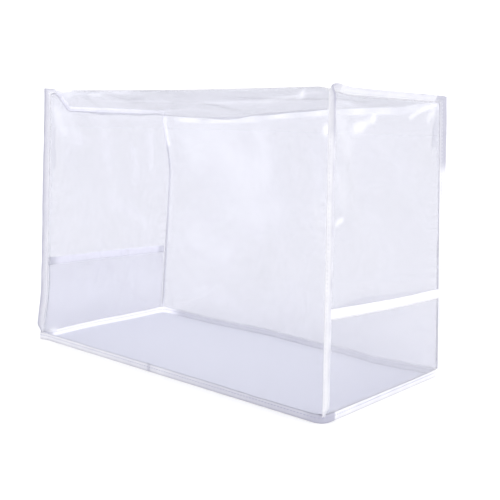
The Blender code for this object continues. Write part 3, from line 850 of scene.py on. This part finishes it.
def build_end_panel(end):
    """One end panel, with its seam allowance turned out along three sides."""
    look = settings()
    half_seam = look.film_thickness * SEAM_GAP
    frames = fin_frames(end, END_ROWS)
    rise, across = END_ROWS.wall + ARC_ROWS // 2, END_ROWS.top + ARC_ROWS
    path = [p for p, f, s in frames]
    inner = [p - n * END_INSET for p, n in zip(path, outward_normals(path))]
    left = inner[:rise + 1]
    top = inner[rise:rise + across + 1]
    right = inner[rise + across:]
    right.reverse()
    shares = [k / across for k in range(across + 1)]
    bottom = [end_chord(end, share, CORNER_RISE) for share in shares]
    bottom[0], bottom[-1] = left[0], right[0]
    grid = coons(left, right, bottom, top)
    for i in range(1, across):
        grid[0][i] = end_chord(end, shares[i], film_foot(min(shares[i], 1.0 - shares[i]) * DEPTH))
    milk = [[look.milk] * (across + 1) for _ in grid]
    for j, line in enumerate(grid[:-1]):
        for i in range(1, len(line) - 1):
            share = (line[i].y - line[0].y) / (line[-1].y - line[0].y)
            shift, white = end_relief(end, line[i], share)
            line[i].x += shift
            milk[j][i] = min(look.milk + white, MOST_MILK)
    corner = [p + s * half_seam for p, f, s in frames]
    edge = [p + s * half_seam + f * FIN * fin_share(p.z) for p, f, s in frames]
    rows, shades = [], []
    for j, line in enumerate(grid):
        k = len(frames) - 1 - j
        rows.append([edge[j], corner[j]] + line + [corner[k], edge[k]])
        shades.append([FIN_MILK, SEAM_MILK] + milk[j] + [SEAM_MILK, FIN_MILK])
    over = slice(rise, rise + across + 1)
    first, last = edge[over][0], edge[over][-1]
    rows.append([first, corner[over][0]] + corner[over] + [corner[over][-1], last])
    rows.append([first, first] + edge[over] + [last, last])
    shades += [[SEAM_MILK] * len(rows[0]), [FIN_MILK] * len(rows[0])]
    add_sheet("film_end_" + end, rows, shades, "end_panel_" + end, "clear_film",
              flat=(0.228, 0.312), held="stretched", rests_on=["hem_binding", "seam_binding_" + end])


def build_pocket(end):
    """One patch pocket."""
    look = settings()
    out = side_of(end)
    rows, shades = [], []
    for j in range(POCKET_ROWS + 1):
        climb = j / POCKET_ROWS
        row, white = [], []
        for i in range(POCKET_COLUMNS + 1):
            share = i / POCKET_COLUMNS
            point = pocket_point(end, share, climb)
            side = min(share, 1.0 - share) * DEPTH
            height, milk = relief("pocket", point.y + out, point.z, side, point.z)
            # Painted light: the left pocket is lightened by its mark
            milk += painted_light_of_marks("pocket_" + end, point.y, point.z)
            point.x += out * abs(height) * smooth(climb * 6.0)
            row.append(point)
            white.append(min(look.milk + milk, MOST_MILK))
        rows.append(row)
        shades.append(white)
    add_sheet("film_pocket_" + end, rows, shades, "pocket_" + end, "pocket_film",
              flat=(0.212, 0.098), held="stretched", rests_on=["seam_binding_" + end])


TAPE_OFF = 0.0008        # middle of the tape's wall from the middle of the fin
LIP = 0.0006             # from the seam to the tape's lips
ROUND_STEPS = 6          # faces round a tape's fold
HEM_CORNER_OUT = Vector((-0.0040, -0.0030, 0.0))      # the front left corner of the hem bends outwards
HEM_JOINT = 0.0234       # the ends of the hem's tape meet here, left of the middle of the front
HEM_STITCHES = 0.0052    # height of the hem's stitches
STITCH_OFF = 0.0003      # middle of a stitch from the middle of the tape's wall
STITCH_SHARE = 0.42      # of the way from a seam to its tape's fold, where the stitches run
TAPE_PAST_FIN = 0.0013   # from the edge of a fin to the fold of its tape
POCKET_TAPE_TRIM = 0.0004     # how much narrower than its bay the tape of a pocket's mouth is
POCKET_TAPE_LIP = 0.0016      # from the foot of that tape's bay to its lips, and from them to its stitches

# Painted shade: how much darker each seam's tape looks, and how dark its fold is
Shade = namedtuple("Shade", "tape fold")
SEAM_SHADES = {
    ("left", "front"): Shade(0.52, 0.90),
    ("left", "top"): Shade(0.0, 0.10),
    ("left", "back"): Shade(0.0, 0.0),
    ("right", "front"): Shade(0.0, 0.40),
    ("right", "top"): Shade(0.16, 0.30),
    ("right", "back"): Shade(0.0, 0.15),
}

# What is added to a tape's painted shade from a height upwards
Step = namedtuple("Step", "seam shade fade")
SHADE_STEPS = (
    Step(("right", "front"), 0.30, Fade(0.262, 0.01)),
    Step(("right", "front"), 0.08, Fade(0.10, 0.05)),
    Step(("right", "back"), 0.75, Fade(0.222, 0.02)),
)
TAPE_TOP_REACH = 0.090   # the tape over the top lies this near the middle, and above the next height
TAPE_TOP_FROM = 0.27

# The hem's tape: its painted shade on the front, how it grows to the right and at the near corner, and the
# others
HEM_FRONT_SHADE = 0.22
HEM_ALONG_SHADE = 0.46
HEM_ALONG = Fade(-0.21, 0.42)
HEM_CORNER_SHADE = 0.24
HEM_CORNER = Fade(0.188, 0.02)
HEM_BACK_SHADE = 0.06
HEM_RIGHT_SHADE = 0.10
HEM_RIGHT = Fade(0.0, 0.1)
HEM_FOLD_SHADE = 0.35
HEM_SIDE = 0.09          # the front and the back of the hem lie further out than this
HEM_FRONT_END = 0.218

# The hem's joint is a dark line, with a lighter place to the right of it
JOINT_SHADE = 0.45
JOINT_WIDTH = 0.0020
JOINT_LIGHT = 0.10
JOINT_LIGHT_OFF = 0.022
JOINT_LIGHT_WIDTH = 0.010


def folded_profile(reach, off, lip):
    """A folded tape's profile: along the fin and across it, from one lip round the fold to the other."""
    profile = [(mix(lip, reach - off, k / 4), -off) for k in range(4)]
    for k in range(ROUND_STEPS + 1):
        angle = mix(-math.pi / 2, math.pi / 2, k / ROUND_STEPS)
        profile.append((reach - off + off * math.cos(angle), off * math.sin(angle)))
    profile += [(mix(reach - off, lip, k / 4), off) for k in range(1, 5)]
    return profile


def seam_shade(end, point):
    """Painted shade: how much darker a seam's tape looks at a place, and how dark its fold is there."""
    if abs(point.y) < TAPE_TOP_REACH and point.z > TAPE_TOP_FROM:
        return SEAM_SHADES[end, "top"]
    seam = (end, "front" if point.y < 0.0 else "back")
    tape, fold = SEAM_SHADES[seam]
    steps = [step for step in SHADE_STEPS if step.seam == seam]
    return tape + sum(step.shade * past(point.z, step.fade) for step in steps), fold


def tape_waver(along, seed):
    """How unevenly a tape was sewn on: its small pull in and out along its length."""
    slow = noise.noise(Vector((along * 11.0, seed, 0.5)))
    fast = noise.noise(Vector((along * 45.0, seed, 8.5)))
    return 0.0005 * slow + 0.0003 * fast


def fold_shade(k, count, deep):
    """Painted shade, darker at the fold of a tape, in the middle of its profile."""
    off = abs(k - (count - 1) / 2) / (ROUND_STEPS / 2 + 0.5)
    return deep * smooth(1.35 - off)


def build_seam_tape(end):
    """The folded tape over the fin of one end. Gives the frames of its stitches."""
    rows, shades, stitches = [], [], []
    along = 0.0
    before = None
    for point, fin, side in fin_frames(end, END_ROWS):
        along += (point - before).length if before else 0.0
        before = point
        waver = tape_waver(along, 1.0 if end == "left" else 4.0)
        reach = FIN * fin_share(point.z) + TAPE_PAST_FIN + waver
        lean = side * tape_waver(along, 20.0 if end == "left" else 30.0)
        profile = folded_profile(reach, TAPE_OFF, LIP)
        rows.append([point + fin * a + side * b + lean * (a / FIN) for a, b in profile])
        # Painted shade on the tape's body and its fold
        painted_shade_and_joint, deep = seam_shade(end, point)
        deep *= 1.0 + 0.9 * noise.noise(Vector((along * 60.0, 3.0, 6.0)))
        body = [painted_shade_and_joint * smooth(min(k, len(profile) - 1 - k) / 1.5) for k in range(len(profile))]
        shades.append([min(fold_shade(k, len(profile), deep) + body[k], 1.0) for k in range(len(profile))])
        stitches.append((point + fin * (reach * STITCH_SHARE) + lean * STITCH_SHARE, fin, side))
    add_sheet("tape_seam_" + end, rows, shades, "seam_binding_" + end, "white_tape",
              flat=(0.0165, 0.815), held="folded", rests_on=["film_strip", "film_end_" + end])
    return stitches


def rounded(wall, follower, pull, out=Vector((0.0, 0.0, 0.0))):
    """Points of a soft corner from one wall's line to the next one's, both ends left out."""
    before, start = wall[-2:]
    stop, after = follower[:2]
    along, beyond = (start - before).normalized(), (after - stop).normalized()
    step = stop - start
    across = along.x * beyond.y - along.y * beyond.x
    tip = start + along * ((step.x * beyond.y - step.y * beyond.x) / across) + out
    points = []
    for k in range(1, CORNER_STEPS):
        t = k / CORNER_STEPS
        to_start, to_tip, to_stop = (1 - t) ** 2, 2 * pull * t * (1 - t), t ** 2
        points.append((start * to_start + tip * to_tip + stop * to_stop) / (to_start + to_tip + to_stop))
    return points


def hem_line(z):
    """The film's line round the hem at a height, closed, with rounded corners."""
    def shares(length, spaces):
        bay = HEM_BAY / length
        return [mix(bay, 1.0 - bay, k / spaces) for k in range(spaces + 1)]

    across, along = shares(WIDTH, HEM_SPACES), shares(DEPTH, HEM_SPACES // 2)
    front = [wall_point("front", u, z) for u in across]
    back = [wall_point("back", u, z) for u in reversed(across)]
    right = [end_point("right", share, z) for share in along]
    left = [end_point("left", share, z) for share in reversed(along)]
    line = front + rounded(front, right, CORNERS["right", "front"].pull)
    line += right + rounded(right, back, CORNERS["right", "back"].pull)
    line += back + rounded(back, left, CORNERS["left", "back"].pull)
    line += left + rounded(left, front, CORNERS["left", "front"].pull, HEM_CORNER_OUT)
    return line


def outwards(line):
    """Unit vectors out of a closed level line."""
    found = []
    for i in range(len(line)):
        run = line[(i + 1) % len(line)] - line[i - 1]
        found.append(Vector((run.y, -run.x, 0.0)).normalized())
    return found


def hem_shade(point):
    """The hem's tape has painted shade, greyer along the front and most of all at the near corner, and it is
    lighter at a joint.
    """
    if point.y < -HEM_SIDE and point.x < HEM_FRONT_END:
        off = point.x + HEM_JOINT
        joint = JOINT_SHADE * hill(off, JOINT_WIDTH)
        joint -= JOINT_LIGHT * hill(off - JOINT_LIGHT_OFF, JOINT_LIGHT_WIDTH)
        along = HEM_ALONG_SHADE * past(point.x, HEM_ALONG)
        return HEM_FRONT_SHADE + joint + along + HEM_CORNER_SHADE * past(point.x, HEM_CORNER)
    return HEM_BACK_SHADE if point.y > HEM_SIDE else HEM_RIGHT_SHADE * past(point.x, HEM_RIGHT)


def build_hem_tape():
    """The folded tape round the whole hem, standing on its fold. Gives the frames of its stitches."""
    foot = settings().tape_thickness / 2
    profile = [(-TAPE_OFF, mix(HEM_TAPE, foot + TAPE_OFF, k / 4)) for k in range(4)]
    for k in range(ROUND_STEPS + 1):
        angle = mix(math.pi, 2.0 * math.pi, k / ROUND_STEPS)
        profile.append((TAPE_OFF * math.cos(angle), foot + TAPE_OFF + TAPE_OFF * math.sin(angle)))
    profile += [(TAPE_OFF, mix(foot + TAPE_OFF, HEM_TAPE, k / 4)) for k in range(1, 5)]
    rings = []
    lines = {}
    for off, z in profile:
        if z not in lines:
            line = hem_line(z)
            lines[z] = (line, outwards(line))
        line, out = lines[z]
        along = 0.0
        ring = []
        for i, point in enumerate(line):
            along += (point - line[i - 1]).length if i else 0.0
            waver = tape_waver(along, 50.0)
            lift = waver * 1.6 * smooth((z - 0.004) / 0.004)
            ring.append(point + out[i] * (off + waver * 0.6) + Vector((0.0, 0.0, lift)))
        rings.append(ring)
    rings.reverse()
    line = hem_line(0.0)
    # Painted shade along the hem, with its joint
    painted_shade_and_joint = [hem_shade(point) for point in line]
    folds = [fold_shade(k, len(rings), HEM_FOLD_SHADE) for k in range(len(rings))]
    shades = [[min(fold + dark, 1.0) for dark in painted_shade_and_joint] for fold in folds]
    add_sheet("tape_hem", rings, shades, "hem_binding", "white_tape", wrap=True,
              flat=(0.0175, 1.310), held="folded", rests_on=["film_strip"])
    line = hem_line(HEM_STITCHES)
    return [(point, Vector((0.0, 0.0, 1.0)), out) for point, out in zip(line, outwards(line))]


def build_pocket_tape(end):
    """The folded tape over one pocket's mouth. Gives the frames of its stitches."""
    out = Vector((side_of(end), 0.0, 0.0))
    rows, stitches = [], []
    for i in range(POCKET_COLUMNS + 1):
        share = i / POCKET_COLUMNS
        mouth = pocket_point(end, share, 1.0)
        down = (pocket_point(end, share, 0.9) - mouth).normalized()
        waver = tape_waver(share * DEPTH, 70.0 if end == "left" else 80.0)
        profile = folded_profile(POCKET_TAPE - POCKET_TAPE_TRIM + waver, TAPE_OFF, 0.0)
        foot = mouth + down * (POCKET_TAPE - POCKET_TAPE_LIP)
        rows.append([foot - down * a + out * b for a, b in profile])
        stitches.append((foot - down * POCKET_TAPE_LIP, -down, out))
    shades = [[0.0] * len(row) for row in rows]
    add_sheet("tape_pocket_" + end, rows, shades, "pocket_binding_" + end, "white_tape",
              flat=(0.0200, 0.208), held="folded", rests_on=["film_pocket_" + end])
    return stitches


def stitch_tree():
    """Geometry nodes that lay stitches along a line: short beads of thread, one after the other."""
    tree = bpy.data.node_groups.new("Row of stitches", "GeometryNodeTree")
    face = tree.interface
    face.new_socket("Line", in_out="INPUT", socket_type="NodeSocketGeometry")
    for label, value in (("Pitch", 0.0036), ("Length", 0.0026), ("Thread", 0.00028)):
        made = face.new_socket(label, in_out="INPUT", socket_type="NodeSocketFloat")
        made.default_value = value
    face.new_socket("Finish", in_out="INPUT", socket_type="NodeSocketMaterial")
    face.new_socket("Stitches", in_out="OUTPUT", socket_type="NodeSocketGeometry")
    given = node(tree, "NodeGroupInput", (-900, 0)).outputs
    curve = node(tree, "GeometryNodeMeshToCurve", (-650, 100), {0: given["Line"]})
    spaced = node(tree, "GeometryNodeCurveToPoints", (-400, 100),
                  {"Curve": curve, "Length": given["Pitch"]}, mode="LENGTH")
    bead = node(tree, "GeometryNodeMeshUVSphere", (-400, -250),
                {"Segments": 6, "Rings": 5, "Radius": given["Thread"]})
    ratio = node(tree, "ShaderNodeMath", (-650, -450),
                 {0: given["Length"], 1: given["Thread"]}, operation="DIVIDE")
    half = node(tree, "ShaderNodeMath", (-450, -450), {0: ratio, 1: 0.5}, operation="MULTIPLY")
    size = node(tree, "ShaderNodeCombineXYZ", (-250, -450), {"X": 1.0, "Y": 1.0, "Z": half})
    laid = node(tree, "GeometryNodeInstanceOnPoints", (0, 0), {
        "Points": spaced.outputs["Points"],
        "Instance": bead.outputs["Mesh"],
        "Rotation": spaced.outputs["Rotation"],
        "Scale": size,
    })
    real = node(tree, "GeometryNodeRealizeInstances", (300, 0), {0: laid})
    finish = node(tree, "GeometryNodeSetMaterial", (600, 0), {"Geometry": real, "Material": given["Finish"]})
    node(tree, "NodeGroupOutput", (1100, 0), {"Stitches": finish})
    return tree


def build_stitches(name, lines, closed, thread="White thread"):
    """Stitches on both faces of a tape, made a plain mesh."""
    look = settings()
    points, edges = [], []
    for line in lines:
        first = len(points)
        points += [point - MIDDLE for point in line]
        edges += [(first + k, first + k + 1) for k in range(len(line) - 1)]
        if closed:
            edges.append((first + len(line) - 1, first))
    mesh = bpy.data.meshes.new(name)
    mesh.from_pydata(points, edges, [])
    seed = bpy.data.objects.new(name, mesh)
    bpy.context.scene.collection.objects.link(seed)
    tree = bpy.data.node_groups.get("Row of stitches") or stitch_tree()
    rule = seed.modifiers.new("Stitches", "NODES")
    rule.node_group = tree
    values = {
        "Pitch": look.stitch_pitch,
        "Length": look.stitch_length,
        "Thread": look.thread_radius,
        "Finish": material_for(thread),
    }
    for item in tree.interface.items_tree:
        if item.item_type == "SOCKET" and item.in_out == "INPUT" and item.name in values:
            rule[item.identifier] = values[item.name]
    graph = bpy.context.evaluated_depsgraph_get()
    plain = bpy.data.meshes.new_from_object(seed.evaluated_get(graph))
    seed.modifiers.remove(rule)
    seed.data = plain
    seed.data.name = name
    plain.shade_smooth()
    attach(seed, "root")


def both_faces(frames):
    """The lines of stitches on the two faces of a tape."""
    off = TAPE_OFF + STITCH_OFF
    return [[p - s * off for p, f, s in frames], [p + s * off for p, f, s in frames]]


# Studio

CAMERA_PLACE = Vector((0.6358, -0.7170, 0.2726))
CAMERA_YAW = -40.25
CAMERA_PITCH = -8.49
CAMERA_ROLL = 1.47
CAMERA_LENS = 59.58
FLOOR_HALF = 40.0
PAINTED_SHADOW_LIFT = 0.0003      # the painted shadow on the table inside the cover lies this far over the table
SENSOR = 36.0
SOFTBOX_TOWARDS = (0.85, -0.15, 0.50)
SOFTBOX_SPREAD = 70.0


def build_camera():
    yaw, pitch, roll = (math.radians(a) for a in (CAMERA_YAW, CAMERA_PITCH, CAMERA_ROLL))
    forward = Vector((math.sin(yaw) * math.cos(pitch), math.cos(yaw) * math.cos(pitch), math.sin(pitch)))
    right = Vector((math.cos(yaw), -math.sin(yaw), 0.0))
    up = right.cross(forward)
    across = right * math.cos(roll) + up * math.sin(roll)
    upright = up * math.cos(roll) - right * math.sin(roll)
    turn = Matrix((across, upright, -forward)).transposed()
    lens = bpy.data.cameras.new("Camera")
    lens.lens = CAMERA_LENS
    lens.sensor_width = SENSOR
    lens.clip_start = 0.01
    camera = bpy.data.objects.new("Camera", lens)
    camera.matrix_world = Matrix.Translation(CAMERA_PLACE - MIDDLE) @ turn.to_4x4()
    bpy.context.scene.collection.objects.link(camera)
    bpy.context.scene.camera = camera


def add_sun(name, towards, strength, spread):
    """A wide soft light from far away, shining from the direction given."""
    lamp = bpy.data.lights.new(name, "SUN")
    lamp.energy = strength
    lamp.angle = math.radians(spread)
    light = bpy.data.objects.new(name, lamp)
    look = (-Vector(towards)).to_track_quat("-Z", "Y")
    light.matrix_world = Matrix.Translation(Vector(towards) * 2.0) @ look.to_matrix().to_4x4()
    bpy.context.scene.collection.objects.link(light)


def build_stage():
    look = settings()
    outline = [point - MIDDLE + Vector((0.0, 0.0, PAINTED_SHADOW_LIFT)) for point in hem_line(0.0)]
    square = [Vector((x * FLOOR_HALF, y * FLOOR_HALF, 0.0)) for x, y in ((-1, -1), (1, -1), (1, 1), (-1, 1))]
    # Painted shadow: a darker sheet on the table inside the cover, standing for the film's shade on it
    floors = (("floor", square, look.floor_colour), ("floor_inside", outline, look.painted_shadow_colour))
    for name, corners, colour in floors:
        mesh = bpy.data.meshes.new(name)
        mesh.from_pydata(corners, [], [range(len(corners))])
        floor = bpy.data.objects.new(name, mesh)
        floor.data.materials.append(plain_material("Table " + name, colour, 0.9))
        bpy.context.scene.collection.objects.link(floor)
    world = bpy.data.worlds.new("Studio")
    world.use_nodes = True
    world.node_tree.nodes["Background"].inputs["Color"].default_value = (1.0, 1.0, 1.0, 1.0)
    world.node_tree.nodes["Background"].inputs["Strength"].default_value = look.surround
    bpy.context.scene.world = world
    add_sun("Wide softbox", SOFTBOX_TOWARDS, look.soft_light, SOFTBOX_SPREAD)
    scene = bpy.context.scene
    scene.view_settings.view_transform = "Standard"
    scene.view_settings.look = "None"
    scene.cycles.transparent_max_bounces = 48
    scene.cycles.use_denoising = True


# The add-on

class FilmCoverSettings(bpy.types.PropertyGroup):
    film_thickness: bpy.props.FloatProperty(
        name="Film thickness", description="Wall of the clear film", unit="LENGTH",
        default=0.0004, min=0.0001)
    tape_thickness: bpy.props.FloatProperty(
        name="Tape thickness", description="Wall of the binding tape", unit="LENGTH",
        default=0.0005, min=0.0001)
    film_tint: bpy.props.FloatVectorProperty(
        name="Film tint", description="Light that one face of the film lets through", subtype="COLOR",
        default=(0.902, 0.903, 0.928), min=0.0, max=1.0)
    pocket_tint: bpy.props.FloatVectorProperty(
        name="Pocket tint", description="Light that one face of the pocket's film lets through",
        subtype="COLOR", default=(0.968, 0.968, 0.982), min=0.0, max=1.0)
    milk: bpy.props.FloatProperty(
        name="Milkiness", description="White haze of flat film, for each of its faces", default=0.035,
        subtype="FACTOR", min=0.0, max=1.0)
    gloss: bpy.props.FloatProperty(
        name="Gloss", description="Strength of the film's shine", subtype="FACTOR",
        default=0.6, min=0.0, max=1.0)
    tape_colour: bpy.props.FloatVectorProperty(
        name="Tape colour", description="Colour of the binding tape", subtype="COLOR",
        default=(0.79, 0.79, 0.83), min=0.0, max=1.0)
    tape_cover: bpy.props.FloatProperty(
        name="Tape cover", description="How much the tape hides, for each of its faces", default=0.93,
        subtype="FACTOR", min=0.0, max=1.0)
    thread_colour: bpy.props.FloatVectorProperty(
        name="Thread colour", description="Colour of the stitches", subtype="COLOR",
        default=(0.70, 0.70, 0.76), min=0.0, max=1.0)
    hem_thread_colour: bpy.props.FloatVectorProperty(
        name="Hem thread colour", description="Colour of the hem's stitches", subtype="COLOR",
        default=(0.36, 0.36, 0.50), min=0.0, max=1.0)
    thread_radius: bpy.props.FloatProperty(
        name="Thread radius", description="Half the thickness of a stitch", unit="LENGTH",
        default=0.0004, min=0.0001)
    stitch_pitch: bpy.props.FloatProperty(
        name="Stitch pitch", description="From one stitch to the next", unit="LENGTH",
        default=0.0040, min=0.001)
    stitch_length: bpy.props.FloatProperty(
        name="Stitch length", description="Length of one stitch", default=0.0024, unit="LENGTH", min=0.0005)
    floor_colour: bpy.props.FloatVectorProperty(
        name="Table colour", description="Colour of the table", subtype="COLOR", default=(0.92, 0.92, 0.92),
        min=0.0, max=1.0)
    # Painted shadow: the colour given to the table inside the cover
    painted_shadow_colour: bpy.props.FloatVectorProperty(
        name="Table shade", description="Colour of the table inside the cover", subtype="COLOR",
        default=(0.84, 0.85, 0.90), min=0.0, max=1.0)
    surround: bpy.props.FloatProperty(
        name="Surround", description="Brightness of the white surround", default=1.22, min=0.0)
    soft_light: bpy.props.FloatProperty(
        name="Soft light", description="Strength of the wide softbox from the right", default=0.75, min=0.0)


class FILMCOVER_OT_film(bpy.types.Operator):
    """Adds the film strip and both end panels"""
    bl_idname = "film_cover.film"
    bl_label = "Add film panels"

    def execute(self, context):
        build_strip()
        for end in ("left", "right"):
            build_end_panel(end)
        return {"FINISHED"}


class FILMCOVER_OT_pockets(bpy.types.Operator):
    """Adds the patch pockets and their bound mouths"""
    bl_idname = "film_cover.pockets"
    bl_label = "Add pockets"

    def execute(self, context):
        for end in ("left", "right"):
            build_pocket(end)
            build_stitches("stitches_pocket_" + end, both_faces(build_pocket_tape(end)), closed=False)
        return {"FINISHED"}


class FILMCOVER_OT_tapes(bpy.types.Operator):
    """Adds the binding tape of the seams and the hem with its stitches"""
    bl_idname = "film_cover.tapes"
    bl_label = "Add binding tape"

    def execute(self, context):
        for end in ("left", "right"):
            build_stitches("stitches_seam_" + end, both_faces(build_seam_tape(end)), closed=False)
        build_stitches("stitches_hem", both_faces(build_hem_tape()), closed=True, thread="Hem thread")
        return {"FINISHED"}


class FILMCOVER_OT_stage(bpy.types.Operator):
    """Adds the table, the lights and the camera"""
    bl_idname = "film_cover.stage"
    bl_label = "Add studio"

    def execute(self, context):
        build_stage()
        build_camera()
        return {"FINISHED"}


OPERATORS = (FILMCOVER_OT_film, FILMCOVER_OT_tapes, FILMCOVER_OT_pockets, FILMCOVER_OT_stage)


class FILMCOVER_PT_panel(bpy.types.Panel):
    bl_idname = "FILMCOVER_PT_panel"
    bl_label = "Film cover"
    bl_space_type = "VIEW_3D"
    bl_region_type = "UI"
    bl_category = "Cover"

    def draw(self, context):
        column = self.layout.column()
        for name in FilmCoverSettings.__annotations__:
            column.prop(context.scene.film_cover, name)
        for operator in OPERATORS:
            column.operator(operator.bl_idname)


CLASSES = (FilmCoverSettings,) + OPERATORS + (FILMCOVER_PT_panel,)


def register():
    for entry in CLASSES:
        bpy.utils.register_class(entry)
    bpy.types.Scene.film_cover = bpy.props.PointerProperty(type=FilmCoverSettings)


def unregister():
    del bpy.types.Scene.film_cover
    for entry in reversed(CLASSES):
        bpy.utils.unregister_class(entry)


def main():
    register()
    bpy.ops.film_cover.film()
    bpy.ops.film_cover.tapes()
    bpy.ops.film_cover.pockets()
    bpy.ops.film_cover.stage()


if __name__ == "__main__":
    main()
